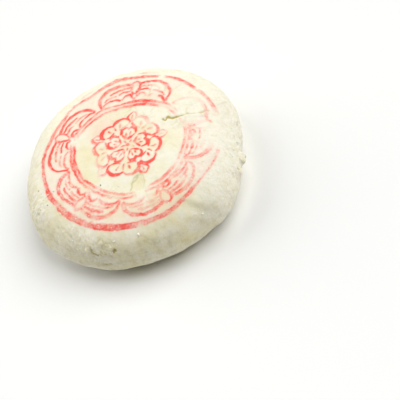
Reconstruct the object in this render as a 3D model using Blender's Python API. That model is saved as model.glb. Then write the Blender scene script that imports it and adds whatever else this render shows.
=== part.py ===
"""A flower cake: one flat, round, uncut pastry with a soft shoulder, a bulging side and a flat foot.

Metres, +Z up. The origin is the middle of the foot, on the surface that the cake stands on.
The print on the top reads upright for someone who stands at -Y.
"""

import math

import bmesh
import bpy
from mathutils import Vector

MM = 0.001

# Driving dimensions.
CAKE_DIAMETER = 80.0 * MM
CAKE_HEIGHT = 23.4 * MM
BULGE_HEIGHT = 8.4 * MM  # height at which the side is widest
FOOT_DIAMETER = 65.0 * MM  # the flat part that it rests on

# Handles of the two Bezier curves that make the side, as shares of the way they run.
FOOT_HANDLE = 0.40  # outwards from the foot's edge, of the overhang
UNDER_HANDLE = 0.45  # downwards from the bulge, of its height
SHOULDER_HANDLE = 0.84  # upwards from the bulge, of the rise above it
TOP_HANDLE = 0.27  # inwards along the flat top, of the radius, where the shoulder starts

# Hand-made unevenness of the outline: how many waves go round, their height, the direction of a crest.
OUTLINE_WAVES = (
    (2, 0.29 * MM, 70.0),
    (3, 0.38 * MM, -43.0),
    (4, 0.72 * MM, 55.0),
    (5, 0.18 * MM, -34.0),
    (6, 0.29 * MM, 35.0),
)

# Soft places pressed into the crust: the middle on the surface, how far it spreads, how deep it goes.
PRESSED_PLACES = (
    (Vector((25.5, -27.0, 15.0)) * MM, 5.5 * MM, 0.9 * MM),  # thumb-wide hollow in the near side
    (Vector((28.5, -28.0, 7.0)) * MM, 4.5 * MM, 0.8 * MM),  # its lower end, over the bulge
    (Vector((-24.0, -30.5, 14.5)) * MM, 5.0 * MM, 0.6 * MM),
    (Vector((7.6, -17.2, 23.0)) * MM, 3.5 * MM, 0.45 * MM),  # pinch inside the print
    (Vector((23.1, 10.3, 22.3)) * MM, 6.0 * MM, 0.5 * MM),  # sunk skin where the top has split
    (Vector((-21.4, 18.3, 21.5)) * MM, 5.0 * MM, 0.55 * MM),
    (Vector((24.0, 29.5, 12.0)) * MM, 5.5 * MM, 0.6 * MM),  # flat place in the far side
)

# The printing stamp leaves the middle of the top slightly lower than its rim.
STAMP_RADIUS = 31.5 * MM
STAMP_DEPTH = 0.35 * MM
STAMP_OFFSET = Vector((2.4, -1.0, 0.0)) * MM

# How finely the solid is faceted.
SEGMENTS_ROUND = 96
STEPS_UNDER = 8
STEPS_OVER = 20

CRUST_COLOUR = (0.823, 0.787, 0.617, 1.0)
CRUST_ROUGHNESS = 0.8


def clear_scene():
    """Removes every object, so that the file starts empty."""
    for item in list(bpy.data.objects):
        bpy.data.objects.remove(item, do_unlink=True)


def bezier(start, first_handle, second_handle, end, steps):
    """Points along a cubic Bezier curve in the radius-height plane, without its last point."""
    points = []
    for step in range(steps):
        t = step / steps
        weights = ((1 - t) ** 3, 3 * (1 - t) ** 2 * t, 3 * (1 - t) * t**2, t**3)
        corners = (start, first_handle, second_handle, end)
        points.append(
            tuple(sum(w * corner[axis] for w, corner in zip(weights, corners)) for axis in (0, 1))
        )
    return points


def side_profile():
    """Radius and height from the foot's edge to the top's middle, in one smooth line.

    One Bezier curve runs from the foot to the bulge, the next from the bulge to the middle.
    """
    widest = CAKE_DIAMETER / 2
    foot = FOOT_DIAMETER / 2
    overhang = widest - foot
    rise = CAKE_HEIGHT - BULGE_HEIGHT
    under = bezier(
        (foot, 0.0),
        (foot + FOOT_HANDLE * overhang, 0.0),
        (widest, BULGE_HEIGHT * (1 - UNDER_HANDLE)),
        (widest, BULGE_HEIGHT),
        STEPS_UNDER,
    )
    over = bezier(
        (widest, BULGE_HEIGHT),
        (widest, BULGE_HEIGHT + SHOULDER_HANDLE * rise),
        (widest * (1 - TOP_HANDLE), CAKE_HEIGHT),
        (0.0, CAKE_HEIGHT),
        STEPS_OVER,
    )
    return under + over + [(0.0, CAKE_HEIGHT)]


def outline_factor(angle):
    """How much wider than the plain circle the cake is in one direction."""
    wave = sum(
        height * math.cos(count * (angle - math.radians(crest)))
        for count, height, crest in OUTLINE_WAVES
    )
    return 1 + wave / (CAKE_DIAMETER / 2)


def pressed_depth(place):
    """How far the crust is pushed in at one place by all the pressed places together."""
    return sum(
        depth * math.exp(-((place - middle).length_squared) / (2 * spread**2))
        for middle, spread, depth in PRESSED_PLACES
    )


def stamp_sink(place):
    """How far the printed face is sunk, fading out at the edge of the stamp."""
    from_middle = (Vector((place.x, place.y, 0.0)) - STAMP_OFFSET).length
    fade = max(0.0, 1 - (from_middle / STAMP_RADIUS) ** 4)
    return STAMP_DEPTH * fade


def shape_cake(vertices):
    """Turns the plain turned shape into the hand-made one, and leaves the foot flat."""
    core = Vector((0.0, 0.0, BULGE_HEIGHT))
    on_foot = 0.01 * MM
    for vertex in vertices:
        place = vertex.co
        flat = place.z < on_foot
        factor = outline_factor(math.atan2(place.y, place.x))
        place.x *= factor
        place.y *= factor
        if flat:
            continue
        inward = (core - place).normalized()
        place += inward * pressed_depth(place)
        if place.z > BULGE_HEIGHT:
            place.z -= stamp_sink(place)


def centre_on_origin(vertices):
    """Puts the middle of the outline over the origin."""
    for axis in (0, 1):
        low = min(vertex.co[axis] for vertex in vertices)
        high = max(vertex.co[axis] for vertex in vertices)
        for vertex in vertices:
            vertex.co[axis] -= (low + high) / 2


def turn_profile(solid):
    """Spins the profile once round the Z axis and closes it at the top's middle."""
    line = [solid.verts.new((radius, 0.0, height)) for radius, height in side_profile()]
    edges = [solid.edges.new(pair) for pair in zip(line, line[1:])]
    bmesh.ops.spin(
        solid,
        geom=line + edges,
        cent=(0.0, 0.0, 0.0),
        axis=(0.0, 0.0, 1.0),
        angle=math.tau,
        steps=SEGMENTS_ROUND,
        use_merge=True,
    )
    bmesh.ops.remove_doubles(solid, verts=solid.verts, dist=0.01 * MM)


def close_foot(solid):
    """Fills the open rim at the bottom with one flat face."""
    rim = [edge for edge in solid.edges if edge.is_boundary]
    bmesh.ops.contextual_create(solid, geom=rim)
    bmesh.ops.recalc_face_normals(solid, faces=solid.faces)


def crust_material():
    """Pale, dull, oven-dry pastry."""
    material = bpy.data.materials.new("pale_crust")
    material.use_nodes = True
    shader = material.node_tree.nodes["Principled BSDF"]
    shader.inputs["Base Color"].default_value = CRUST_COLOUR
    shader.inputs["Roughness"].default_value = CRUST_ROUGHNESS
    shader.inputs["Metallic"].default_value = 0.0
    return material


def build_cake():
    """The whole pastry as one solid."""
    solid = bmesh.new()
    turn_profile(solid)
    close_foot(solid)
    shape_cake(solid.verts)
    centre_on_origin(solid.verts)
    mesh = bpy.data.meshes.new("cake")
    solid.to_mesh(mesh)
    solid.free()
    mesh.shade_smooth()
    mesh.set_sharp_from_angle(angle=math.radians(50))
    mesh.materials.append(crust_material())
    cake = bpy.data.objects.new("cake", mesh)
    bpy.context.scene.collection.objects.link(cake)
    return cake


clear_scene()
build_cake()
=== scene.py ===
"""A flat, round, flaky flower cake with a red stamped print, laid out as a Blender add-on.

The crust is one closed surface worked out from its side profile, then lumped, layered, blistered
and split by smooth noise. The print is a set of brush strokes: each point of the crust knows how
far it lies from the nearest inked edge and how much ink took there, and the crust's material
turns that into ink. Flakes and crumbs lie loose on it. All lengths in the tables are millimetres.
"""

import math

import bpy
import numpy as np
from bpy.props import FloatProperty, FloatVectorProperty, IntProperty, PointerProperty
from mathutils import Matrix, Vector


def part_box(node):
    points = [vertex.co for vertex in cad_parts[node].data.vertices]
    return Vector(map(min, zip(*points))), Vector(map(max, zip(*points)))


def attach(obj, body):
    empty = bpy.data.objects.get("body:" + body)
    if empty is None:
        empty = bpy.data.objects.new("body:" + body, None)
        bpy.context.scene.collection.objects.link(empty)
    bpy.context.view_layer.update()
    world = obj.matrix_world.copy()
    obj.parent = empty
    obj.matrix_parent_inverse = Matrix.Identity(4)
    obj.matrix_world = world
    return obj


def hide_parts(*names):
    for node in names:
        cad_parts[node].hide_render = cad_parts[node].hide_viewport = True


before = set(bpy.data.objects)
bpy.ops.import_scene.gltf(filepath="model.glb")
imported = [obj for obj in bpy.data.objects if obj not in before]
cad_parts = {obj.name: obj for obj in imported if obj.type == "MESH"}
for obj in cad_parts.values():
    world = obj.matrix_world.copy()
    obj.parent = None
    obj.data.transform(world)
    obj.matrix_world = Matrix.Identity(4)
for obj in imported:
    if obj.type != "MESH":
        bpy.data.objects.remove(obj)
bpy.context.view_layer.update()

bl_info = {
    "name": "Flower Cake",
    "version": (1, 0, 0),
    "blender": (4, 5, 0),
    "location": "3D View > Sidebar > Flower Cake",
    "description": "A pressed flower pastry with its print, loose flakes, crumbs and a stage",
    "category": "Add Mesh",
}

MM = 0.001
NODE = "cake"
BODY = "root"
CAKE_LOW, CAKE_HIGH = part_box(NODE)

# --- Side profile: two Bezier curves, with handles as shares of the way they run.
FOOT_HANDLE = 0.40
UNDER_HANDLE = 0.45
SHOULDER_HANDLE = 0.84
TOP_HANDLE = 0.27

# Waves of the outline: how many go round, their height, the direction of a crest in degrees.
OUTLINE_WAVES = (
    (2, 0.29, 70.0), (3, 0.38, -43.0), (4, 0.72, 55.0), (5, 0.18, -34.0), (6, 0.29, 35.0),
)

# Soft places pressed into the crust: x, y, z, how far each spreads, how deep it goes.
PRESSED_PLACES = (
    (25.5, -27.0, 15.0, 5.5, 0.9),
    (28.5, -28.0, 7.0, 4.5, 0.8),
    (-24.0, -30.5, 14.5, 5.0, 0.6),
    (7.6, -17.2, 23.0, 3.5, 0.45),
    (23.1, 10.3, 22.3, 6.0, 0.5),
    (-21.4, 18.3, 21.5, 5.0, 0.55),
    (24.0, 29.5, 12.0, 5.5, 0.6),
)
STAMP_RADIUS = 31.5
STAMP_DEPTH = 0.35
PRINT_CENTRE = (2.4, -1.0)  # the middle of the stamp and of all that it printed

# --- Grid: points along the profile's two curves, cells across the printed top, rows down the
# side, rows across the foot.
OVER_POINTS, UNDER_POINTS = 1200, 600
TOP_CELLS = 200
TOP_RADIUS = 33.5
SIDE_ROWS = 62
FOOT_ROWS = 8
FOOT_FLAT = 0.01  # points below this height are the flat foot and aren't pressed
FLATTEST = 1.2  # height over which the relief fades out above the foot
MEAN_RADIUS = 40  # turns an angle into millimetres round the side
ON_FOOT = 0.999  # share of the way down the profile past which a point is the foot's edge

# --- Map of the crust: the middle and radius of the large disc and of the foot's own.
MAP_MIDDLE, MAP_RADIUS = 0.45, 0.44
FOOT_MAP_MIDDLE, FOOT_MAP_RADIUS = 0.90, 0.085

# --- Marks in the skin. Each is a path, its half-width, and how deep it goes.
# On the top, as x, y from the print's middle: the split from its deep end, the pinched flap's
# edges, and fine creases.
TOP_MARKS = (
    (((11.3, 9.9), (12.5, 9.3), (13.1, 10.7), (14.8, 10), (16.3, 10.6), (17.9, 11)), 0.42, 0.85),
    (((17.9, 11), (19.4, 11.7), (21.2, 11.8), (22.9, 12.1)), 0.17, 0.55),
    (((23.3, 12.1), (24.6, 12.5), (25.8, 13.3), (26.9, 13.2)), 0.32, 0.55),
    (((5.3, -12.5), (5.3, -14.2), (4.1, -15.1), (3.7, -16.3), (3.7, -17.6), (3.5, -18.8)),
     0.26, 0.50),
    (((5.6, -13.1), (6.9, -14.1), (7.6, -15.5), (8.1, -16.7)), 0.18, 0.25),
    (((5.7, -11.9), (7.1, -12.9)), 0.20, 0.35),
    (((11.7, -15.4), (13.9, -16.1), (16.4, -15.5)), 0.18, 0.30),
    (((9.1, -19.5), (9.6, -21.1), (10.3, -22.5)), 0.20, 0.22),
    (((5.1, -19.4), (6, -21.5)), 0.24, 0.22),
    (((7.1, 28.8), (5.2, 25.4), (5, 21.9), (5.7, 20.1)), 0.22, 0.32),
    (((0.6, 16.3), (1.4, 14)), 0.20, 0.34),
    (((-2.8, 12.9), (-0.4, 10.9), (-0.1, 7.5)), 0.24, 0.26),
    (((7.6, 15.6), (6.4, 13.4)), 0.20, 0.32),
    (((3.4, 14), (5.7, 11.6), (8.4, 11)), 0.18, 0.30),
    (((8.6, 7.6), (10.4, 6), (11.1, 3.5)), 0.18, 0.24),
    (((18.1, 20.2), (21.1, 23.5)), 0.20, 0.22),
    (((28.9, 15.9), (31, 19.8)), 0.26, 0.34),
    (((15.2, -0.5), (19.2, -3.5)), 0.22, 0.22),
    (((-36.1, -4.3), (-32.5, -1.5)), 0.34, 0.26),
    (((-12.8, 14.9), (-16.6, 11.4), (-17.2, 7.6)), 0.20, 0.18),
)
# On the near side, as x, z: the creases of a burst and folded blister.
NEAR_MARKS = (
    (((-7.7, 16.7), (-7.8, 15.6), (-7.2, 14.7), (-5.8, 14.1), (-4.4, 14.3)), 0.28, 0.75),
    (((-0.3, 14.9), (0.3, 15.4), (0.9, 15.5)), 0.36, 1.00),
    (((-6.9, 17.1), (-5.6, 17.3), (-4.6, 18.0), (-3.4, 18.2), (-2.7, 17.4)), 0.16, 0.45),
    (((-4.4, 15.4), (-3.7, 16.6), (-2.2, 17.5), (-0.7, 17.3), (0.1, 16.5)), 0.18, 0.50),
    (((-4.2, 15.9), (-2.8, 15.9), (-1.2, 15.6), (0.0, 15.8)), 0.15, 0.50),
    (((-4.6, 15.3), (-3.6, 14.7), (-2.5, 14.5)), 0.22, 0.70),
    (((-3.4, 15.3), (-2.2, 15.0), (-1.5, 14.5)), 0.14, 0.55),
    (((-0.4, 14.2), (-1.2, 13.5)), 0.18, 0.45),
)
# A spot where the outer skin came away, and a smooth pinched flap: each one's middle from the
# print's middle, and its half-sizes.
TORN_PATCH = ((24.6, 8.9), (1.7, 2.1))
PINCHED_FLAP = ((5.9, -16.2), (2.3, 3.4))
# Small pits: x, y, z, how far each spreads, how deep it goes.
PITS = (
    (36.9, 11.9, 11.7, 0.55, 0.9), (37.3, 11.0, 10.2, 0.45, 0.6), (0.5, -38.2, 15.4, 0.35, 0.5),
    (-7.5, -37.5, 15.7, 0.35, 0.5), (-4.8, -39.7, 9.4, 0.45, 0.45), (-2.9, -39.7, 9.6, 0.40, 0.4),
    (-3.8, -39.7, 9.3, 0.45, 0.3), (-20.2, -29.4, 18.3, 0.4, 0.35), (-31.5, -19.7, 17, 0.5, 0.4),
    (-28.7, -22.8, 17.8, 0.4, 0.4), (-15, -33, 17.8, 0.45, 0.4), (-11.8, -34.7, 17.3, 0.45, 0.4),
    (39.0, -6.9, 11.4, 0.50, 0.6), (7.4, -14.6, 22.4, 0.35, 0.3),
)
# Scales of skin that stand out from the right side: x, y, z, half-width, half-height, how far.
LOOSE_SKIN = (
    (39.0, -2.0, 9.7, 2.3, 1.7, 1.5), (39.1, -7.1, 9.8, 1.4, 1.2, 0.7),
    (38.2, 4.3, 10.8, 1.3, 0.9, 0.5), (36.6, 12.6, 12.6, 1.5, 1.0, 0.6),
)
# Marks on the top lie above the first height, near ones above the second and beyond this y.
TOP_SKIN, SHOULDER, NEAR_SIDE = 14, 10, -30

# --- Regions of the crust, as rows of x, y, z, how far each spreads and how strong it is.
GRAINY_SKIN = ((38.5, -2, 13, 10, 1), (35, -14, 17, 8, 0.7), (32, 19, 16.5, 9, 0.4))
FLAKED_SKIN = (
    (-29.5, -21.5, 17, 4.5, 0.9), (-14, -34, 17.5, 4, 0.8), (-36, -11.5, 15.5, 6, 0.5),
    (-12, -37, 11, 7, 0.45), (-4, -37.5, 15.5, 4, 0.5), (14, 33.5, 18, 9, 0.45),
    (-27, 20, 19, 8, 0.4), (37, 11, 10.5, 5, 0.5),
)
# The smooth places also take a deeper cream and a little olive: painted shade in the thumb-wide
# hollow, below it and at the pinched flap.
SMOOTH_SKIN = ((25, -26, 16.5, 5.5, 1), (27, -29, 10, 5, 0.7), (8.3, -16.5, 22.2, 2.2, 0.8))
# WARM_SKIN: deeper, yellower cream low on the near side and on the near left, partly the dough's
# warm tone and partly painted shade of that shaded side.
WARM_SKIN = ((4, -38, 12, 14, 0.55), (-27, -27, 16, 8, 0.45))
RAGGED_SKIN = ((38, 5, 11, 7, 0.34),)
CREASED_SKIN = (
    (13, 17, 22, 9, 1), (-12.5, 6, 22.5, 8, 0.6), (9, -25, 21.5, 9, 0.6), (-32, 4, 20, 9, 0.5),
)
CRAZED_SKIN = ((20, 11, 22, 7, 1), (10, 4, 22, 7, 0.5))
FLAKES_LIE = (
    (39, -2, 11, 6, 1), (37.5, 9, 11, 5, 0.5), (-29, -22, 17, 5, 0.3), (-13, -35, 16, 5, 0.2),
)
CRUMBS_LIE = ((-6, -36, 14, 14, 1),)
# Loose lumps: the least height at which they lie, and their shape and lengths.
ABOVE_FLOOR = 1.5
LUMP_SHAPE = (1.0, 0.8, 0.5)  # half-sizes along, across and upwards, as shares of the length
LUMP_ROWS, LUMP_COLUMNS = 5, 9
LUMP_UNEVEN, LUMP_CELL, LUMP_LEAST = 0.85, 1.1, 0.35  # noise on a lump, and its least share
FLAKE_LENGTHS = (0.26, 0.50)  # half-lengths, spread evenly
CRUMB_LEAST, CRUMB_MORE = 0.10, 0.16  # most crumbs are near the least

# --- Relief. Noise fields: how wide their features are in millimetres, or in steps of a stretched
# field, and the seed that fixes each.
FIELDS = {
    "lumps": (13.0, 3), "swells": (6.0, 5), "ripples": (3.2, 11), "sheets": (1.0, 23),
    "streaks": (1.0, 29), "grain": (1.0, 31), "nubs": (1.5, 37), "curds": (1.5, 39),
    "plate_bend": (2.6, 41), "curd_bend": (2.0, 43), "plates": (4.4, 47), "tint": (9.0, 151),
    "crease_bend": (6.0, 61), "creases": (5.5, 67), "creases_kept": (8.0, 71),
    "crazing": (2.8, 73), "crazing_kept": (5.0, 79), "jags": (1.1, 81), "folds": (1.1, 95),
    "torn": (2.2, 101), "flap": (2.2, 103), "scales": (1.6, 107), "ragged": (2.4, 109),
    "print_bend": (9.0, 111), "print_shake": (2.2, 121), "print_edge": (1.6, 133),
    "luck_wide": (6.0, 131), "luck_fine": (2.4, 137), "scratches": (1.0, 139),
}
# How far each bending noise moves a place, in millimetres.
BENDS = {
    "curd_bend": 0.8, "plate_bend": 1.2, "crease_bend": 1.6, "jags": 0.30, "print_bend": 0.50,
    "print_shake": 0.24,
}
# Between which values of its noise each kind of unevenness comes in.
COMES_IN = {
    "streaks": (0.10, 0.55), "nubs": (0.25, 0.75), "creases_kept": (0.05, 0.40),
    "crazing_kept": (0.0, 0.35), "scratches": (0.10, 0.50),
}
# How high each kind of unevenness stands, or how deep it goes, in millimetres.
HEIGHTS = {
    "lumps": 0.26, "swells": 0.24, "ripples": 0.105, "sheets": 0.075, "grain": 0.11, "nubs": 0.12,
    "streaks": 0.18, "plates": 0.17, "curds": 0.20, "crease": -0.09, "cut": -0.24, "cut_lip": 0.14,
    "fold": -0.18, "fold_lip": 0.12, "hole": -0.7, "torn": -0.12, "flap": -0.20,
}
# How much of each kind of skin goes into a layer: everywhere, the side, grainy, flaked, rough.
SHARES = {
    "rough": (0.06, 0.20, 0.80, 0.80),
    "peeling": (0, 0.15, 0.50, 1),
    "flaky": (0, 0.23, 0.02, 0.50),
    "whitened": (0, 0, 0.32, 0.20),
    "gritty": (0.05, 0.12, 0, 0, 0.18),
    "bumpy": (0.18, 0.37, 0, 0, 0.40),
}
SHEET_LONG, SHEET_THICK = 6.5, 1.2  # one step of the sheets' field, round the cake and upwards
STREAK_WIDE, STREAK_LONG, STREAK_LEAN = 1.4, 5.0, 0.6
PLATES_ACROSS = 3.4  # how many plates one swing of their noise is cut into
SIDE_FROM = (0.55, 0.70)  # shares of the way down the profile over which the side's skin comes in
FOOT_SKIN = (0, 2.5)  # heights over which it fades out above the foot
BACK_FROM = (-8, 12)  # y over which the calmer back of the cake comes in
CALMED = 0.6  # how much of its unevenness a smooth place loses
CREASE_THIN, CRAZING_THIN = 0.05, 0.08  # how narrow the creases are, in steps of their noise
CREASE_HEIGHTS = (3, 7)  # heights over which creases come in
# The blister: x, z of its middle, its half-sizes, how its folds are stretched, and its rings, as
# distance from the middle in half-sizes, spread, height, and how much of that the folds stir.
BLISTER, BLISTER_HALVES, BLISTER_FOLDS = (-3.2, 15.8), (3.0, 1.8), (0.9, 0.8, 1.7)
BLISTER_RINGS = (
    (0, 1.1, 0.16, 0), (0.85, 0.22, 0.18, 0.14), (0.40, 0.20, -0.06, 0), (0, 0.7, 0, 0.12),
)
# The thumb-wide hollow's ridge and upper wall: the way down the shoulder and its start, the middle
# and the width in x, the least height, and the bands, as distance down, spread and height.
DENT_DOWN, DENT_START = (-0.53, -0.7, -0.7), 10.322
DENT_X, DENT_WIDE, DENT_LOWEST = 27.8, 3.6, 9
DENT_BANDS = ((-0.9, 0.9, 0.24), (1.7, 1.5, -0.34))
RIM_NOISE = 0.30  # how ragged the rims of patches and of loose scales are, in half-sizes
PATCH_RIM, SCALE_RIM = (1.12, 0.88), (1.3, 0.6)  # from where to where each comes in
# A mark: from where to where it deepens, where its lip is and how wide, and its thinnest share.
MARK_EDGE, LIP_AT, LIP_WIDE, MARK_SLIM = (0.26, -0.14), 0.65, 0.35, 0.35

# --- Print. Directions are degrees anticlockwise from +X as seen from above.
OUTER_RING = 31.4
INNER_RING = 19.4
# Where each ring swings out or in because the dough moved: direction, spread, how far.
OUTER_SWINGS = (
    (90, 9, -0.6), (106, 5, 0.9), (125, 5, -1.2), (141, 4, 1.2), (155, 5, -0.5), (-176, 7, 0.4),
    (-56, 7, 0.4), (-40, 12, -0.9), (-20, 8, 0.35), (64, 8, 0.4), (31, 9, 0.7), (168, 4, -0.5),
)
INNER_SWINGS = (
    (-38, 17, 2.0), (16, 24, 1.6), (90, 18, -1.5), (162, 16, 1.6), (-128, 8, -0.3), (-84, 14, 0.9),
    (198, 18, 0.30),
)
# From the inner ring's middle to each of its two lines.
TWIN_GAP = 0.78
TWIN_SWINGS = ((188, 20, -0.18), (-40, 12, 0.20), (128, 12, 0.20))
# Half the width of each ring's line, and where it is wider or thinner: direction, spread, change.
OUTER_WIDTH, INNER_WIDTH = 0.56, 0.36
OUTER_SWELLS = (
    (-95, 24, 0.34), (-135, 14, 0.25), (109, 9, 0.28), (-20, 14, -0.34), (152, 18, 0.14),
)
INNER_SWELLS = ((80, 14, 0.16), (195, 20, 0.06), (-40, 12, 0.20), (15, 14, 0.08))
# The ink of each ring, and where more or less of it took, in the same way.
OUTER_INK, INNER_INK = 0.76, 0.58
OUTER_TOOK = (
    (-100, 20, 0.14), (-50, 12, -0.10), (200, 16, 0.12), (120, 26, -0.12), (60, 6, 0.10),
    (36, 6, 0.08), (20, 7, -0.40), (-22, 9, -0.26), (-76, 9, -0.26), (96, 9, 0.30),
)
INNER_TOOK = (
    (200, 26, 0.40), (79, 14, 0.50), (-44, 8, 0.10), (-70, 9, -0.10), (134, 8, 0.12),
    (16, 14, 0.08), (-25, 11, -0.28), (-122, 14, -0.18),
)

# The five winged figures: the direction of each one's axis, how much ink it took, and how far
# the dough carried its inner rows and its outer edge outwards.
FIGURES = (
    (16.0, 0.72, 0.0, 0.0), (92.0, 0.92, -0.8, -0.7), (166.0, 1.1, 0.0, 0.0),
    (236.5, 0.82, 0.1, -0.9), (306.8, 0.66, 1.1, -0.5),
)
FIGURE_ROWS = (21.5, 29.0)  # radius of the innermost row and of the wing's edge
# One half of a figure, as turn from its axis and distance from the print's middle, with the
# half-width of the stroke and its ink: the wing's edge, rows of feathers, body, head and feeler.
HALF_FIGURE = (
    (((4.5, 28.3), (9, 28.8), (14, 29.2), (19.5, 29.2), (24.5, 28.4), (28.5, 27.0), (31.8, 25.0),
      (33.6, 22.3)), 0.58, 1.0),
    (((4.5, 26.7), (11, 27.0), (17, 26.9), (21, 26.4)), 0.40, 0.95),
    (((4.5, 25.0), (10, 25.3), (13.5, 25.0)), 0.40, 0.90),
    (((17, 24.9), (21, 25.0), (25, 24.7), (28, 24.1)), 0.32, 0.85),
    (((2.4, 22.3), (4.5, 23.2), (8, 23.2), (11.0, 22.2)), 0.44, 0.95),
    (((14, 22.2), (18, 23.2), (23, 23.3)), 0.44, 0.95),
    (((24.5, 23.2), (29, 22.9), (33, 21.8)), 0.42, 1.0),
    (((0.0, 29.5), (2.7, 28.6), (3.4, 26.7), (2.6, 24.6), (1.2, 23.4)), 0.38, 1.0),
    (((0.0, 23.3), (2.0, 22.7), (2.2, 21.7), (0.0, 21.1)), 0.26, 0.90),
    (((5.2, 23.3), (2.5, 21.9), (0.0, 20.4)), 0.28, 0.85),
)
BODY_WASH = (27.0, 1.1, 2.2, 0.12)  # pale ink inside a body: its radius, two half-sizes, strength

# The open flower in the middle, one half of each petal or leaf in the same way.
PETALS = 5
HALF_INNER_PETAL = (
    (((4, 2.5), (19, 3.5), (27, 4.9)), 0.40, 0.95),
    (((28, 5.4), (20, 6.9), (7, 7.3), (0, 6.4)), 0.54, 1.05),
    (((9, 3.9), (8, 5.3)), 0.28, 0.8),
)
HALF_OUTER_PETAL = (
    (((9, 7.8), (22, 7.8), (31, 8.9)), 0.38, 0.9),
    (((33, 9.5), (30, 11.1), (19, 12.1), (8, 11.9), (0, 11.0)), 0.60, 1.05),
    (((11, 8.8), (14, 10.3)), 0.34, 0.8),
    (((0, 8.1), (0, 9.8)), 0.26, 0.8),
    (((0, 1.2), (0, 2.4)), 0.26, 1.0),
)
HALF_LEAF = (
    (((1.0, 10.1), (7.5, 11.3), (6.5, 13.0), (0.5, 14.2)), 0.40, 0.95),
    (((0, 11.1), (0, 13.0)), 0.24, 0.8),
)
# The parts of the flower: the half design, its turn in steps from petal to petal, and its ink.
FLOWER_PARTS = ((HALF_INNER_PETAL, 0, 1.0), (HALF_LEAF, 0, 0.85), (HALF_OUTER_PETAL, 0.5, 0.95))
FLOWER_EYE = (((-0.3, 0.0), (0.3, 0.1)), 0.65, 1.1)
# A brush stroke: its thinnest share in a figure, in the flower and elsewhere, and over what share
# of its length it thins. Each one's luck: its width, its ink and its heaviest place.
FIGURE_SLIM, FLOWER_SLIM, STROKE_SLIM, THINS_OVER = 0.62, 0.20, 0.45, 0.30
WIDTH_LUCK, INK_LUCK, HEAVY_AT = (0.85, 1.15), (0.65, 1.1), (0.2, 0.8)
STROKE_SEED = 12
# Faint second touches of the stamp beyond the outer ring: from, to, radius, half-width, ink.
GHOSTS = ((80, 93, 33.2, 0.45, 0.36), (118, 132, 33.2, 0.60, 0.22))

# Where the print is worn or never took: x, y, z from its middle, spread, loss.
WORN_PLACES = (
    (33.0, 4.6, 0, 4.6, 1.3), (6.4, -16.5, 0, 2.1, 1.2), (19.9, 11.6, 0, 2.4, 0.8),
    (7.5, 19.5, 0, 2.0, 0.15), (-26.3, 21.1, 0, 0.8, 1.0), (7.8, 30.1, 0, 0.8, 0.9),
    (21.7, 24, 0, 0.7, 0.8), (-20.7, 4.1, 0, 1.3, 0.8), (17.3, 18.1, 0, 4.5, 0.35),
    (7.0, 24.8, 0, 2.2, 0.35), (-19.5, -14.9, 0, 1.6, 0.10), (9.5, -19.5, 0, 2.0, 0.15),
    (10.5, 13.7, 0, 2.0, 0.3), (21.0, 15.5, 0, 3.0, 0.55), (-2.5, -20.5, 0, 1.2, 0.25),
)
# Where the stamp was short of ink, as regions: there the ink is scratched.
SHORT_OF_INK = ((-29, -6, 22, 6, 1), (-21, -20, 22, 6, 1), (4, 29, 22, 8, 0.6))
# Where the flower took more or less ink, where its ink smeared, and where the ink's edges are soft
# round the print and inside it: regions on the floor under the print.
UNEVEN_INK = (
    (10.5, -7.5, 0, 3.6, 0.45), (-7.0, 6.5, 0, 3.0, 0.20), (9.5, 8.5, 0, 3.4, -0.40),
    (-7.0, -6.5, 0, 3.4, -0.32),
)
SMEARED_INK = ((-8.5, 7.5, 0, 3.5, 0.30),)
SOFT_INK = ((-9, 31, 0, 7.0, 0.34),)
SOFT_INK_INSIDE = ((-10, -32, 0, 8.0, 0.45),)
INK_SOFT = 0.22  # width of the ink's soft edge elsewhere, in millimetres
SCRATCH_LONG, SCRATCH_WIDE, SCRATCH_LOSS = 3.5, 0.55, 0.55  # scratches in the ink
LUCK_WIDE, LUCK_FINE = 0.16, 0.36  # how much the ink changes from place to place
EDGE_ROUGH = 0.10  # how ragged the edges of the strokes are, in millimetres
MIDDLE_LOSS, MIDDLE_FROM = 0.12, (0.28, 0.62)  # less ink in a wide stroke, this far inside it
PRINTED_ABOVE = 15  # height above which the stamp can have touched the cake
FAR_FROM_INK = 5.0  # distance that stands for a place with no stroke near it

# --- Looks of the crust's material.
# Spots in the pastry: how wide in millimetres, and how much finer detail rides on them.
SPOTS = {"cloud": (8.0, 3.0), "blotch": (2.2, 1.5), "mottle": (1.1, 2.0), "dust": (1.1, 1.5),
         "grain": (0.60, 2.0)}
SHEETS_WIDE, SHEETS_FLAT = 2.4, 2.2  # edges of the dough's sheets: how far apart, how flat
# Colour laid over colour: the layer that lets it in, the spots that break it up and the values of
# theirs between which it comes in, and the colour.
VEILS = (
    # warm: deeper cream in soft clouds, and painted shade on the shaded near side and in the
    # thumb-wide hollow.
    ("warm", "cloud", 0.34, 0.60, "cream_deep"),
    ("uneven", "blotch", 0.47, 0.64, "olive"),
    ("flaky", "sheets", 0.50, 0.85, "olive"),
    ("floury", "dust", 0.52, 0.66, "floury"),
    ("gritty", "grain", 0.52, 0.66, "olive"),
    # hollow: olive in creases, gaps and pits, partly the dough's tone and partly painted shade.
    ("hollow", None, 0, 0, "olive"),
    ("whitened", None, 0, 0, "floury"),
    # deep: the darker inside tone, dough showing in the split and painted shade in the pits and
    # the blister's folds.
    ("deep", None, 0, 0, "inside"),
    ("ink_stain", None, 0, 0, "ink_pale"),
)
LAYERS = tuple(layer for layer, *_ in VEILS) + ("ink_edge", "ink_took", "bumpy")
INK_SPREAD = 0.06  # how far the ink crept beyond each stroke, in millimetres
INK_RAGGED = 3.0  # how far the mottle shifts the edge of the ink, in widths of its soft edge
INK_BROKEN = 0.9  # how much the grain takes away from the ink


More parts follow.
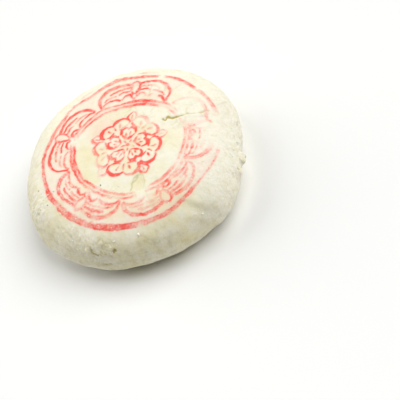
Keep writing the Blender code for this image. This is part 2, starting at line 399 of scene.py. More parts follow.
def linear(code):
    """Turns an sRGB hex colour into linear red, green, blue and an alpha of one."""
    parts = (int(code[start : start + 2], 16) / 255 for start in (1, 3, 5))
    return (*(p / 12.92 if p <= 0.04045 else ((p + 0.055) / 1.055) ** 2.4 for p in parts), 1.0)


def ease(value, low, high):
    """Rises smoothly from 0 at low to 1 at high, as 3t^2 - 2t^3."""
    t = np.clip((value - low) / (high - low), 0, 1)
    return t * t * (3 - 2 * t)


def bell(distance, spread):
    """A bell curve, exp(-d^2 / 2s^2)."""
    return np.exp(-(distance**2) / (2 * spread**2))


def swing(angle, usual, bells):
    """A value that depends on the direction: the usual one plus a bell at each given direction."""
    return usual + sum(height * bell((angle - way + 180) % 360 - 180, spread)
                       for way, spread, height in bells)


# ---------------------------------------------------------------- noise

NOISE_STRETCH = 1.6  # brings the noise to about -1 to 1


def lattice_value(lattice, seed):
    """A repeatable random number from -1 to 1 for each lattice point, made by mixing its bits."""
    keys = lattice.astype(np.uint64)
    mixed = np.full(len(keys), seed * 0x9E3779B1 + 0x7F4A7C15, dtype=np.uint64)
    for axis, prime in enumerate((0x8DA6B343, 0xD8163841, 0xCB1AB31F)):
        mixed ^= keys[:, axis] * np.uint64(prime)
        mixed ^= mixed >> np.uint64(29)
        mixed *= np.uint64(0xBF58476D1CE4E5B9)
        mixed ^= mixed >> np.uint64(32)
    return (mixed & np.uint64(0xFFFFFF)).astype(float) / 0x7FFFFF - 1


def noise(places, cell, seed):
    """Smooth gradient noise, about -1 to 1, with features as large as the cell.

    Each lattice point holds a random slope. The eight slopes round a place are blended with the
    curve 6t^5 - 15t^4 + 10t^3, and the sum is stretched to its full height.
    """
    scaled = places / cell
    base = np.floor(scaled).astype(np.int64)
    part = scaled - base
    blend = part**3 * (part * (part * 6 - 15) + 10)
    total = np.zeros(len(places))
    for corner in np.ndindex(2, 2, 2):
        offset = np.array(corner)
        weight = np.where(offset, blend, 1 - blend).prod(axis=1)
        reach = part - offset
        for axis in range(3):
            total += weight * reach[:, axis] * lattice_value(base + offset, seed * 3 + axis)
    return total * NOISE_STRETCH


def layered_noise(places, cell, seed, layers=2):
    """Noise added to itself at half the size and half the height, several times."""
    return sum(noise(places, cell / 2**n, seed + 17 * n) / 2**n for n in range(layers))


def bend(places, name, axes=3):
    """A small shift for each place, with independent noise along each axis."""
    cell, seed = FIELDS[name]
    return BENDS[name] * np.stack([noise(places, cell, seed + n) for n in range(axes)], axis=1)


# ---------------------------------------------------------------- cake shape


def bezier(corners, count):
    """A cubic Bezier curve: its corners weighted by (1-t)^3, 3(1-t)^2 t, 3(1-t)t^2 and t^3."""
    t = np.linspace(0, 1, count)[:, None]
    weights = np.hstack(((1 - t) ** 3, 3 * (1 - t) ** 2 * t, 3 * (1 - t) * t**2, t**3))
    return weights @ np.array(corners, float)


def side_profile(shape):
    """Radius and height, in millimetres, from the top's middle down to the foot's edge."""
    widest, foot = shape.diameter / MM / 2, shape.foot_diameter / MM / 2
    height, bulge = shape.height / MM, shape.bulge_height / MM
    over = bezier(
        ((0, height), (widest * (1 - TOP_HANDLE), height),
         (widest, bulge + SHOULDER_HANDLE * (height - bulge)), (widest, bulge)), OVER_POINTS)
    under = bezier(
        ((widest, bulge), (widest, bulge * (1 - UNDER_HANDLE)),
         (foot + FOOT_HANDLE * (widest - foot), 0), (foot, 0)), UNDER_POINTS)
    return np.vstack((over, under[1:]))


def disc_grid(cells):
    """Ring share and angle of a square grid squeezed into a disc.

    A point at m = max(|u|, |v|) from the square's middle goes to ring m, and its share of the way
    along the square's side is its share of that quarter of the ring.
    """
    line = np.linspace(-1, 1, cells + 1)
    u, v = (part.ravel() for part in np.meshgrid(line, line))
    flat = np.abs(u) >= np.abs(v)
    safe_u, safe_v = np.where(u == 0, 1, u), np.where(v == 0, 1, v)
    angle = np.where(flat, math.pi / 4 * v / safe_u, math.pi / 2 - math.pi / 4 * u / safe_v)
    angle += np.where(np.where(flat, u, v) < 0, math.pi, 0)
    return np.maximum(np.abs(u), np.abs(v)), angle


def grid_quads(cells):
    """Corner numbers of the square grid's faces, anticlockwise."""
    corner = (np.arange(cells)[:, None] * (cells + 1) + np.arange(cells)).ravel()
    return np.stack((corner, corner + 1, corner + cells + 2, corner + cells + 1), axis=1)


def grid_rim(cells):
    """Numbers of the square grid's rim points, anticlockwise from its lower left corner."""
    grid = np.arange((cells + 1) ** 2).reshape(cells + 1, cells + 1)
    return np.concatenate((grid[0, :-1], grid[:-1, -1], grid[-1, :0:-1], grid[:0:-1, 0]))


def ring_quads(upper, lower):
    """Faces between two rings of point numbers, the lower one further out or further down."""
    return np.stack((upper, lower, np.roll(lower, -1), np.roll(upper, -1)), axis=1)


def wavy(radius, angle, shape):
    """The radius with the outline's waves: r (1 + sum of h cos(n (a - crest)) / R)."""
    waves = sum(height * np.cos(count * (angle - math.radians(crest)))
                for count, height, crest in OUTLINE_WAVES)
    return radius * (1 + waves / (shape.diameter / MM / 2))


def plain_cake(shape):
    """Points, faces and map places of the smooth cake, before any relief.

    The way from the top's middle to the foot's edge along the profile is the first parameter and
    the angle is the second. A squeezed square grid covers the printed top, rings go down the
    side, and flat rings close the foot.
    """
    profile = side_profile(shape)
    way = np.concatenate(((0,), np.cumsum(np.linalg.norm(np.diff(profile, axis=0), axis=1))))
    top_way = np.interp(TOP_RADIUS, profile[:OVER_POINTS, 0], way[:OVER_POINTS])
    share, angle = disc_grid(TOP_CELLS)
    rim = grid_rim(TOP_CELLS)
    around = len(rim)
    down = np.linspace(top_way, way[-1], SIDE_ROWS + 1)[1:]
    run = np.concatenate((share * top_way, np.repeat(down, around)))
    angle = np.concatenate((angle, np.tile(angle[rim], SIDE_ROWS)))
    radius = np.interp(run, way, profile[:, 0])
    height = np.interp(run, way, profile[:, 1])
    foot_share = np.repeat(np.linspace(1, 0, FOOT_ROWS + 1)[1:-1], around)
    foot_angle = np.tile(angle[rim], FOOT_ROWS - 1)
    radius = np.concatenate((radius, foot_share * profile[-1, 0], (0,)))
    height = np.concatenate((height, np.zeros(len(foot_share) + 1)))
    angle = np.concatenate((angle, foot_angle, (0,)))
    outer = wavy(radius, angle, shape)
    points = np.stack((outer * np.cos(angle), outer * np.sin(angle), height), axis=1)

    grid_points = (TOP_CELLS + 1) ** 2
    rings = [rim] + [grid_points + row * around + np.arange(around)
                     for row in range(SIDE_ROWS + FOOT_ROWS - 1)]
    bands = [ring_quads(upper, lower) for upper, lower in zip(rings, rings[1:])]
    middle = np.full(around, len(points) - 1)
    fan = np.stack((rings[-1], middle, np.roll(rings[-1], -1)), axis=1)
    quads = np.vstack([grid_quads(TOP_CELLS)] + bands)
    on_foot = np.zeros(len(quads), bool)
    on_foot[len(quads) - (FOOT_ROWS - 1) * around :] = True
    run = np.concatenate((run, np.zeros(len(points) - len(run))))
    return points, quads, fan, on_foot, run / way[-1], angle, radius


def press(points, shape):
    """Sinks the pressed places towards the cake's core and the stamped face straight down.

    Each pressed place is a bell of the distance from its middle. The face sinks by
    depth (1 - (r / R)^4), with r counted from the stamp's middle.
    """
    core = np.array((0, 0, shape.bulge_height / MM))
    inward = core - points
    inward /= np.maximum(np.linalg.norm(inward, axis=1), 1e-6)[:, None]
    depth = regions(points, PRESSED_PLACES)
    depth = np.where(points[:, 2] < FOOT_FLAT, 0, depth)
    points = points + inward * depth[:, None]
    from_stamp = np.hypot(*(points[:, :2] - PRINT_CENTRE).T)
    sink = STAMP_DEPTH * np.clip(1 - (from_stamp / STAMP_RADIUS) ** 4, 0, 1)
    points[:, 2] -= np.where(points[:, 2] > core[2], sink, 0)
    return points


def settle_in_box(points):
    """Slides the cake sideways so that it has the CAD solid's middle."""
    middle = (np.array(CAKE_LOW) + np.array(CAKE_HIGH)) / 2 / MM
    own = (points.min(axis=0) + points.max(axis=0)) / 2
    points[:, :2] += middle[:2] - own[:2]
    return points


# ---------------------------------------------------------------- strokes


def smooth_path(points, per_span=7):
    """A Catmull-Rom curve through the points: each span is bent by the points before and after."""
    p = np.asarray(points, float)
    p = np.vstack((2 * p[0] - p[1], p, 2 * p[-1] - p[-2]))
    t = np.linspace(0, 1, per_span, endpoint=False)[None, :, None]
    a, b, c, d = (p[k : len(p) - 3 + k, None] for k in range(4))
    curve = 0.5 * (2 * b + (c - a) * t + (2 * a - 5 * b + 4 * c - d) * t**2
                   + (3 * b - a - 3 * c + d) * t**3)
    return np.vstack((curve.reshape(-1, p.shape[1]), p[-2]))


def brush(points, half_width, strength=1.0, slim=STROKE_SLIM, heavy=0.5):
    """A stroke as rows of x, y, half-width and strength.

    The stroke is full at its heavy place, and thins away from it as a bell down to its slim share.
    """
    path = smooth_path(points)
    along = np.linspace(0, 1, len(path))
    width = half_width * (slim + (1 - slim) * bell(along - heavy, THINS_OVER))
    return np.column_stack((path, width, np.full(len(path), strength)))


def path_distance(flat, stroke):
    """Distance from each flat place to a stroke's edge, and the strength of its nearest point.

    Each straight piece of the stroke gives its nearest point, and the smallest gap is kept.
    """
    start, step = stroke[:-1], np.diff(stroke, axis=0)
    reach = flat[:, None, :] - start[None, :, :2]
    along = np.clip((reach * step[:, :2]).sum(-1) / (step[:, :2] ** 2).sum(-1), 0, 1)
    gap = np.linalg.norm(reach - along[..., None] * step[:, :2], axis=-1)
    gap -= start[:, 2] + along * step[:, 2]
    nearest = gap.argmin(axis=1)
    rows = np.arange(len(flat))
    return gap[rows, nearest], start[nearest, 3] + along[rows, nearest] * step[nearest, 3]


def beside(flat, stroke, open_to, reach=3.0):
    """Numbers of the flat places that are open to the stroke and within reach of its box."""
    low, high = stroke[:, :2].min(axis=0) - reach, stroke[:, :2].max(axis=0) + reach
    return np.flatnonzero(((flat > low) & (flat < high)).all(axis=1) & open_to)


def marks(flat, table, open_to):
    """Depth of the marks in the skin, and the lift of their lips.

    A mark is full inside its half-width and gone a quarter of a millimetre outside it. Its lip is
    a bell beyond that.
    """
    depth, lip = np.zeros(len(flat)), np.zeros(len(flat))
    for path, half_width, deep in table:
        stroke = brush(path, half_width, deep, MARK_SLIM)
        near = beside(flat, stroke, open_to)
        gap, strength = path_distance(flat[near], stroke)
        depth[near] = np.maximum(depth[near], strength * ease(gap, *MARK_EDGE))
        lip[near] = np.maximum(lip[near], strength * bell(gap - LIP_AT, LIP_WIDE))
    return depth, lip


# ---------------------------------------------------------------- relief


def regions(points, table):
    """The sum of a table's bell-shaped regions at each point."""
    return sum(strength * bell(np.linalg.norm(points - (x, y, z), axis=1), spread)
               for x, y, z, spread, strength in table)


def kinds_of_skin(points, run):
    """How strongly each kind of skin shows at each point, from 0 to 1: its regions, added up."""
    side = ease(run, *SIDE_FROM) * ease(points[:, 2], *FOOT_SKIN)
    grainy, flaked, smooth = (np.clip(regions(points, table), 0, 1)
                              for table in (GRAINY_SKIN, FLAKED_SKIN, SMOOTH_SKIN))
    return side, grainy, flaked, smooth


def shared(layer, kinds, most=1.0):
    """A layer's shares of the kinds of skin, added up and kept between 0 and the most."""
    return np.clip(sum(share * kind for share, kind in zip(SHARES[layer], kinds)), 0, most)


def skin_relief(points, run, angle):
    """Height of the skin's unevenness, and the layers of colour that come with it.

    Lumps, ripples, flattened sheets, grains and nubs are noise of their own width and height,
    each kept where its kind of skin is. Plates are the steps of a bent noise, n - floor(n), with
    a gap at each step. The colours are weighted sums of the same fields, so they lie in the real
    hollows; each weight says how much its field adds to the layer. The hollow layer is olive laid
    in the gaps between plates, where the grain, the sheets and the curds dip, and a little in the
    smooth places: partly the dough's own tone, partly painted shade.
    """
    side, grainy, flaked, smooth = kinds_of_skin(points, run)
    back = ease(points[:, 1], *BACK_FROM)
    calm = 1 - CALMED * smooth
    kinds = (1, side, grainy, flaked)
    rough, peeling = shared("rough", kinds, 1.1) * calm, shared("peeling", kinds) * calm
    kinds = (*kinds, rough)

    x, y, z = points.T
    around = angle * MEAN_RADIUS
    sheet_steps = np.stack((around / SHEET_LONG, z / SHEET_THICK, run), axis=1)
    sheets = HEIGHTS["sheets"] * layered_noise(sheet_steps, *FIELDS["sheets"]) * side
    streak_steps = np.stack(
        ((around + STREAK_LEAN * z) / STREAK_WIDE, z / STREAK_LONG, run), axis=1)
    streaks = ease(noise(streak_steps, *FIELDS["streaks"]), *COMES_IN["streaks"]) * flaked
    grain = noise(points, *FIELDS["grain"])
    nubs = ease(noise(points, *FIELDS["nubs"]), *COMES_IN["nubs"])
    curds = layered_noise(points + bend(points, "curd_bend"), *FIELDS["curds"])
    step = PLATES_ACROSS * noise(points + bend(points, "plate_bend"), *FIELDS["plates"])
    part = step - np.floor(step)
    heights = {
        "lumps": noise(points, *FIELDS["lumps"]),
        "swells": noise(points, *FIELDS["swells"]) * (0.25 + side),
        "ripples": layered_noise(points, *FIELDS["ripples"]) * (0.30 + side) * calm,
        "grain": grain * rough,
        "nubs": nubs * rough,
        "streaks": streaks,
        "plates": ((1 - part) * ease(part, 0.0, 0.25) - 0.5) * peeling,
        "curds": curds * flaked,
    }
    height = sheets * calm + sum(HEIGHTS[name] * field for name, field in heights.items())

    # warm: soft clouds of deeper cream, less on the grainy skin and more in the top's middle; near
    # WARM_SKIN and in the smooth places it is also painted shade, the yellower cream of the shaded
    # near side and of the thumb-wide hollow
    warm = (regions(points, WARM_SKIN) + 0.6 * smooth + 0.45 * ease(np.hypot(x, y), 23, 12)
            - 0.7 * grainy + 0.35 * noise(points, *FIELDS["tint"]) + 0.25)
    floury = (0.12 + 0.60 * nubs * rough + 0.50 * rough * (1 - 0.4 * back) + 0.6 * streaks
              + 0.6 * ease(curds, 0.10, 0.30) * flaked)
    uneven = 0.12 + 0.30 * side * (1 - 0.8 * smooth) * (1 - 0.5 * back)
    # hollow: olive in the plates' gaps and the dips of grain, sheets and curds, and a little in
    # the smooth places; partly the dough's tone, partly painted shade in those recesses
    hollow = (0.45 * bell(part - 0.03, 0.06) * peeling + 0.18 * ease(-grain, 0.05, 0.6) * rough
              + 0.20 * ease(-sheets, 0.01, 0.07) + 0.22 * ease(-curds, 0.05, 0.30) * flaked
              + 0.08 * smooth)
    layers = {
        "warm": np.clip(warm, 0, 1),
        "floury": np.clip(floury, 0, 1),
        "uneven": np.clip(uneven, 0, 1),
        "flaky": shared("flaky", kinds) * calm,
        "gritty": shared("gritty", kinds),
        "whitened": shared("whitened", kinds),
        "bumpy": shared("bumpy", kinds),
    }
    return height, hollow, layers


def wrinkles(points):
    """Hair-fine creases: grooves where a bent noise passes through zero, kept in a few places."""
    bent = points + bend(points, "crease_bend")
    creases = (bell(noise(bent, *FIELDS["creases"]), CREASE_THIN)
               * ease(noise(points, *FIELDS["creases_kept"]), *COMES_IN["creases_kept"])
               * np.clip(regions(points, CREASED_SKIN) + 0.25, 0, 1))
    crazing = (bell(noise(bent, *FIELDS["crazing"]), CRAZING_THIN)
               * ease(noise(points, *FIELDS["crazing_kept"]), *COMES_IN["crazing_kept"])
               * regions(points, CRAZED_SKIN))
    return np.maximum(creases, 0.7 * crazing) * ease(points[:, 2], *CREASE_HEIGHTS)


def blister(points):
    """A burst bubble low on the near side: a wide swelling with a folded ring round its middle.

    Each ring is a bell of the distance from the middle, counted in the blister's half-sizes, and
    noise changes its height.
    """
    reach = np.hypot(*((points[:, ::2] - BLISTER) / BLISTER_HALVES).T)
    folds = noise(points * BLISTER_FOLDS, *FIELDS["folds"])
    return sum((height + stirred * folds) * bell(reach - ring, spread)
               for ring, spread, height, stirred in BLISTER_RINGS) * (points[:, 1] < NEAR_SIDE)


def dent_ridge(points):
    """A soft ridge above the thumb-wide hollow, and the hollow's steep upper wall below it.

    Each is a bell of the distance down the shoulder, times a bell of x.
    """
    x, y, z = points.T
    down = points @ DENT_DOWN + DENT_START
    here = bell(x - DENT_X, DENT_WIDE) * (z > DENT_LOWEST) * (y < 0)
    return here * sum(height * bell(down - way, spread) for way, spread, height in DENT_BANDS)


def loose_skin(points):
    """Ragged scales of skin on the right side, and the ragged skin between them.

    A scale is a plateau that falls off round its rim. Its distance from the middle is counted in
    its half-sizes, and noise shifts it.
    """
    shift = RIM_NOISE * noise(points, *FIELDS["scales"])
    between = layered_noise(points, *FIELDS["ragged"]) * regions(points, RAGGED_SKIN)
    return between + sum(
        lift * ease(np.linalg.norm((points - (x, y, z)) / (wide, wide, high), axis=1) + shift,
                    *SCALE_RIM)
        for x, y, z, wide, high, lift in LOOSE_SKIN)


def patch(points, middle, halves, field):
    """A ragged oval on the top, from 0 outside to 1 inside.

    The distance from its middle is counted in its half-sizes, and noise shifts it.
    """
    reach = (points[:, :2] - PRINT_CENTRE - middle) / halves
    edge = np.hypot(*reach.T) + RIM_NOISE * noise(points, *FIELDS[field])
    return ease(edge, *PATCH_RIM) * (points[:, 2] > SHOULDER)


def crust_layers(points, run, angle):
    """The relief in millimetres along the normal, and every layer that the material reads.

    The relief is the sum of the skin's unevenness and of each mark times its height. A hollow or
    deep place is tinted as strongly as the marks in it: the olive and the darker inside tone in
    the creases, the split, the blister's folds, the pits and round the sunken flap are partly the
    dough's own colour and partly painted shade.
    """
    height, hollow, layers = skin_relief(points, run, angle)
    crease = wrinkles(points)
    jagged = points + bend(points, "jags")
    on_top = points[:, 2] > TOP_SKIN
    near = (points[:, 1] < NEAR_SIDE) & (points[:, 2] > SHOULDER)
    cut, cut_lip = marks(jagged[:, :2] - PRINT_CENTRE, TOP_MARKS, on_top)
    fold, fold_lip = marks(jagged[:, ::2], NEAR_MARKS, near)
    hole = regions(points, PITS)
    torn = patch(points, *TORN_PATCH, "torn")
    flap = patch(points, *PINCHED_FLAP, "flap")
    found = {"crease": crease, "cut": cut**1.5, "cut_lip": cut_lip, "fold": fold,
             "fold_lip": fold_lip, "hole": hole, "torn": torn, "flap": flap}
    height = (height + sum(HEIGHTS[name] * mark for name, mark in found.items())
              + blister(points) + dent_ridge(points) + loose_skin(points))

    # Painted shade over the dough's own tone: olive in the creases, the split, the blister's folds
    # and the pits.
    hollow = np.clip(hollow + 0.50 * crease + 0.9 * cut + 1.3 * fold + hole, 0, 1)
    # The darker inside tone: dough that shows in the split, and painted shade in the pits and the
    # blister's folds.
    deep = np.maximum(ease(cut, 0.35, 1.0), 0.9 * ease(hole, 0.15, 0.7))
    # Painted shade: an olive ring round the rim of the sunken flap.
    layers["hollow"] = np.maximum(hollow, 1.6 * flap * (1 - flap) + 0.05 * flap)
    layers["deep"] = np.maximum(deep, 0.75 * ease(fold, 0.30, 0.95))
    layers["whitened"] = np.maximum(layers["whitened"], 0.40 * torn)
    # A deeper cream in the flap, partly painted shade in its hollow.
    layers["warm"] = np.maximum(layers["warm"], 0.4 * flap)
    layers.update(print_layers(points))
    layers["ink_took"] = layers["ink_took"] - 0.9 * torn - 0.9 * deep - 0.25 * crease
    return height * ease(points[:, 2], 0.0, FLATTEST), layers


# ---------------------------------------------------------------- print


def polar(points, axis=0.0, side=1):
    """Turns (turn, radius) pairs into flat places round the print's middle."""
    turn, radius = np.asarray(points, float).T
    angle = np.radians(axis + side * turn)
    return np.stack((radius * np.cos(angle), radius * np.sin(angle)), axis=1)


def carried(path, inner_row, outer_edge):
    """Moves (turn, radius) pairs outwards, by one amount at the inner row, another at the edge."""
    turn, radius = np.asarray(path, float).T
    shift = np.interp(radius, FIGURE_ROWS, (inner_row, outer_edge))
    return np.stack((turn, radius + shift), axis=1)


def both_halves(table, axis, ink, slim, draw):
    """Strokes of a half design and its mirror image, each with its own luck with the ink."""
    return [brush(polar(path, axis, side), half_width * draw.uniform(*WIDTH_LUCK),
                  strength * ink * draw.uniform(*INK_LUCK), slim, draw.uniform(*HEAVY_AT))
            for side in (1, -1) for path, half_width, strength in table]


def all_strokes():
    """The winged figures, the flower with its leaves, and the stamp's faint second touches."""
    draw = np.random.default_rng(STROKE_SEED)
    strokes = []
    for axis, ink, inner_row, outer_edge in FIGURES:
        table = [(carried(path, inner_row, outer_edge), *rest) for path, *rest in HALF_FIGURE]
        strokes += both_halves(table, axis, ink, FIGURE_SLIM, draw)
    for number in range(PETALS):
        for table, turned, ink in FLOWER_PARTS:
            axis = 90 + 360 / PETALS * (number + turned)
            strokes += both_halves(table, axis, ink, FLOWER_SLIM, draw)
    strokes.append(brush(*FLOWER_EYE))
    for start, end, radius, half_width, ink in GHOSTS:
        arc = [(turn, radius) for turn in np.linspace(start, end, 4)]
        strokes.append(brush(polar(arc), half_width, ink))
    return strokes


def ring_lines(flat):
    """Distance from the nearest ring line's edge, and that line's ink.

    Also how far outside the gap of the inner ring's twin lines a place is, and from 0 to 1 whether
    it is in the band between the rings. Each ring's radius, width and ink are functions of the
    direction, so the distance is |radius - ring| - half-width.
    """
    radius = np.hypot(flat[:, 0], flat[:, 1])
    angle = np.degrees(np.arctan2(flat[:, 1], flat[:, 0]))
    outer = swing(angle, OUTER_RING, OUTER_SWINGS)
    inner = swing(angle, INNER_RING, INNER_SWINGS)
    twin = swing(angle, TWIN_GAP, TWIN_SWINGS)
    gaps = np.array(
        [np.abs(radius - outer) - swing(angle, OUTER_WIDTH, OUTER_SWELLS)]
        + [np.abs(radius - inner - side * twin) - swing(angle, INNER_WIDTH, INNER_SWELLS)
           for side in (1, -1)])
    inner_ink = swing(angle, INNER_INK, INNER_TOOK)
    inks = np.array((swing(angle, OUTER_INK, OUTER_TOOK), inner_ink, inner_ink))
    nearest = gaps.argmin(axis=0)
    rows = np.arange(len(flat))
    band = ease(radius, inner + 0.5, inner + 2) * ease(radius, outer + 1.5, outer - 1)
    return gaps[nearest, rows], inks[nearest, rows], np.abs(radius - inner) - twin, band


def print_layers(points):
    """Layers of the print: where its edges lie, how much ink took, and the pale stain round it.

    The edge is the distance outside the nearest stroke divided by how soft the edge is there. A
    wide stroke holds less ink along its middle than at its rim, as wet ink does. The stain is a
    weighted sum of what crept out of each stroke and what lies between the lines.
    """
    level = points * (1, 1, 0)
    from_middle = level - (*PRINT_CENTRE, 0)
    flat = from_middle[:, :2] + bend(level, "print_bend", 2) + bend(level, "print_shake", 2)
    printed = points[:, 2] > PRINTED_ABOVE
    edge, ink, between, band = ring_lines(flat)
    for stroke in all_strokes():
        near = beside(flat, stroke, printed)
        gap, strength = path_distance(flat[near], stroke)
        closer = gap < edge[near]
        edge[near[closer]], ink[near[closer]] = gap[closer], strength[closer]
    edge = edge - EDGE_ROUGH * noise(points, *FIELDS["print_edge"]) - INK_SPREAD
    edge = np.where(printed, edge, FAR_FROM_INK)

    x, y, z = points.T
    luck = (LUCK_WIDE * noise(points, *FIELDS["luck_wide"])
            + LUCK_FINE * noise(points, *FIELDS["luck_fine"]))
    across = np.stack(((x - y) / SCRATCH_LONG, (x + y) / SCRATCH_WIDE, z), axis=1)
    scratches = ease(noise(across, *FIELDS["scratches"]), *COMES_IN["scratches"])
    luck -= SCRATCH_LOSS * scratches * np.clip(regions(points, SHORT_OF_INK) + 0.10, 0, 1)
    luck += regions(level, UNEVEN_INK)
    lost = regions(from_middle, WORN_PLACES)
    rim = 1 - MIDDLE_LOSS * ease(-edge, *MIDDLE_FROM)

    wash_radius, wash_across, wash_along, wash = BODY_WASH
    bodies = sum(ink_there * bell(np.linalg.norm(
        (flat @ turned_axes(axis) - (wash_radius, 0)) / (wash_along, wash_across), axis=1), 0.6)
        for axis, ink_there, *_ in FIGURES)
    stain = (0.34 * ease(edge, 0.9, -0.2) * ink + 0.30 * ease(between, 0.2, -0.5) * ink
             + 0.125 * band + wash * bodies + regions(level, SMEARED_INK))
    inside = ease(np.hypot(*flat.T), OUTER_RING, OUTER_RING - 0.4)
    soft = INK_SOFT + regions(level, SOFT_INK) + regions(level, SOFT_INK_INSIDE) * inside
    return {
        "ink_edge": np.clip(edge / soft, -8, 8),
        "ink_took": (ink + luck - lost) * rim,
        "ink_stain": np.clip(stain - 0.5 * lost, 0, 0.8) * printed,
    }


def turned_axes(direction):
    """Two columns that turn flat places so that their first number runs along the direction."""
    angle = math.radians(direction)
    return np.array(((math.cos(angle), -math.sin(angle)), (math.sin(angle), math.cos(angle))))


# ---------------------------------------------------------------- materials


def add_node(tree, kind, settings=None, inputs=None):
    """Adds one node. Settings are its own choices; inputs are values, or sockets to link from."""
    node = tree.nodes.new(kind)
    for name, value in (settings or {}).items():
        setattr(node, name, value)
    for name, value in (inputs or {}).items():
        if isinstance(value, bpy.types.NodeSocket):
            tree.links.new(value, node.inputs[name])
        else:
            node.inputs[name].default_value = value
    return node


def new_material(name):
    """An empty material with a principled shader joined to its output."""
    material = bpy.data.materials.new(name)
    material.use_nodes = True
    tree = material.node_tree
    tree.nodes.clear()
    shader = add_node(tree, "ShaderNodeBsdfPrincipled")
    add_node(tree, "ShaderNodeOutputMaterial", None, {"Surface": shader.outputs[0]})
    return material, tree, shader


def pattern_scale(size):
    """The noise scale whose features are this many millimetres wide."""
    return 1 / (size * MM)


def crust_material(looks):
    """Laminated pastry skin, baked pale: dull, floury, a little translucent, with food-colour ink.

    The eye sees a warm cream that shifts in soft clouds, greenish-olive shadows in every crease
    and between grains, white floury specks, a faint blush where the stamp touched, and red ink
    that sank in unevenly and gathered along the rims of its strokes.
    """
    material, tree, shader = new_material("baked_pastry_skin_with_print")
    place = add_node(tree, "ShaderNodeTexCoord").outputs["Object"]
    felt = {name: add_node(tree, "ShaderNodeAttribute", {"attribute_name": name}).outputs["Fac"]
            for name in LAYERS}
    spots = {name: add_node(tree, "ShaderNodeTexNoise", None, {
        "Vector": place, "Scale": pattern_scale(size), "Detail": detail,
        "Roughness": 0.55}).outputs["Fac"] for name, (size, detail) in SPOTS.items()}
    laid = add_node(tree, "ShaderNodeMapping", None, {
        "Vector": place, "Scale": (1.0, 1.0, SHEETS_FLAT)})
    spots["sheets"] = add_node(tree, "ShaderNodeTexNoise", {"noise_type": "RIDGED_MULTIFRACTAL"}, {
        "Vector": laid.outputs[0], "Scale": pattern_scale(SHEETS_WIDE), "Detail": 1.0,
        "Roughness": 0.5}).outputs["Fac"]
    colour = tuple(looks.cream)
    for layer, spot, low, high, veil in VEILS:
        factor = felt[layer]
        if spot:
            factor = add_node(tree, "ShaderNodeMapRange", {"interpolation_type": "SMOOTHSTEP"}, {
                "Value": spots[spot], "From Min": low, "From Max": high,
                "To Max": factor}).outputs["Result"]
        colour = add_node(tree, "ShaderNodeMix", {"data_type": "RGBA"}, {
            0: factor, 6: colour, 7: tuple(getattr(looks, veil))}).outputs[2]

    ragged = add_node(tree, "ShaderNodeMath", {"operation": "MULTIPLY_ADD"}, {
        0: spots["mottle"], 1: INK_RAGGED, 2: felt["ink_edge"]}).outputs[0]
    cover = add_node(tree, "ShaderNodeMapRange", {"interpolation_type": "SMOOTHSTEP"}, {
        "Value": ragged, "From Min": INK_RAGGED / 2 + 1, "From Max": INK_RAGGED / 2 - 1})
    left = add_node(tree, "ShaderNodeMath", {"operation": "MULTIPLY_ADD"}, {
        0: spots["grain"], 1: -INK_BROKEN, 2: felt["ink_took"]}).outputs[0]
    strength = add_node(tree, "ShaderNodeMapRange", {"interpolation_type": "SMOOTHSTEP"}, {
        "Value": left, "From Min": 0.10 - INK_BROKEN / 2, "From Max": 1.1 - INK_BROKEN / 2,
        "To Max": cover.outputs["Result"]})
    colour = add_node(tree, "ShaderNodeMix", {"data_type": "RGBA"}, {
        0: strength.outputs["Result"], 6: colour, 7: tuple(looks.ink)}).outputs[2]

    height = add_node(tree, "ShaderNodeMapRange", None, {
        "Value": spots["grain"], "To Max": felt["bumpy"]}).outputs["Result"]
    bump = add_node(tree, "ShaderNodeBump", None, {
        "Strength": 0.8, "Distance": 0.22 * MM, "Height": height})
    roughness = add_node(tree, "ShaderNodeMapRange", None, {
        "Value": spots["mottle"], "From Min": 0.3, "From Max": 0.7,
        "To Min": 0.60, "To Max": 0.86})
    tree.links.new(colour, shader.inputs["Base Color"])
    tree.links.new(roughness.outputs["Result"], shader.inputs["Roughness"])
    tree.links.new(bump.outputs["Normal"], shader.inputs["Normal"])
    shader.inputs["IOR"].default_value = 1.45
    shader.inputs["Specular IOR Level"].default_value = 0.3
    shader.inputs["Subsurface Weight"].default_value = 0.3
    shader.inputs["Subsurface Radius"].default_value = (1.0, 0.75, 0.45)
    shader.inputs["Subsurface Scale"].default_value = 0.9 * MM
    return material


def crumb_material(name, pale, deep, size, dullness=0.85):
    """Crumb of the same dough, with the tone changing from grain to grain; moist ones glint."""
    material, tree, shader = new_material(name)
    place = add_node(tree, "ShaderNodeTexCoord").outputs["Object"]
    spots = add_node(tree, "ShaderNodeTexNoise", None, {
        "Vector": place, "Scale": pattern_scale(size), "Detail": 2.0})
    tone = add_node(tree, "ShaderNodeMix", {"data_type": "RGBA"},
                    {0: spots.outputs["Fac"], 6: tuple(pale), 7: tuple(deep)})
    bump = add_node(tree, "ShaderNodeBump", None, {
        "Strength": 0.4, "Distance": 0.08 * MM, "Height": spots.outputs["Fac"]})
    tree.links.new(tone.outputs[2], shader.inputs["Base Color"])
    tree.links.new(bump.outputs["Normal"], shader.inputs["Normal"])
    shader.inputs["Roughness"].default_value = dullness
    shader.inputs["Specular IOR Level"].default_value = 0.3
    return material


# ---------------------------------------------------------------- meshes


def new_piece(name, points, faces, material):
    """Makes a mesh object at the origin, smooth shaded, that rides on the cake's body."""
    mesh = bpy.data.meshes.new(name)
    mesh.from_pydata(points * MM, (), faces)
    mesh.shade_smooth()
    mesh.materials.append(material)
    piece = bpy.data.objects.new(name, mesh)
    bpy.context.scene.collection.objects.link(piece)
    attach(piece, BODY)
    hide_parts(NODE)
    return piece


def store(mesh, name, values):
    """Keeps one number for each point of the mesh under a name that a material can read."""
    layer = mesh.attributes.new(name, "FLOAT", "POINT")
    layer.data.foreach_set("value", np.asarray(values, np.float32))


def read_values(items, name, kind=np.float32, each=1):
    """One named value of every item of a mesh, as an array."""
    values = np.empty(len(items) * each, kind)
    items.foreach_get(name, values)
    return values


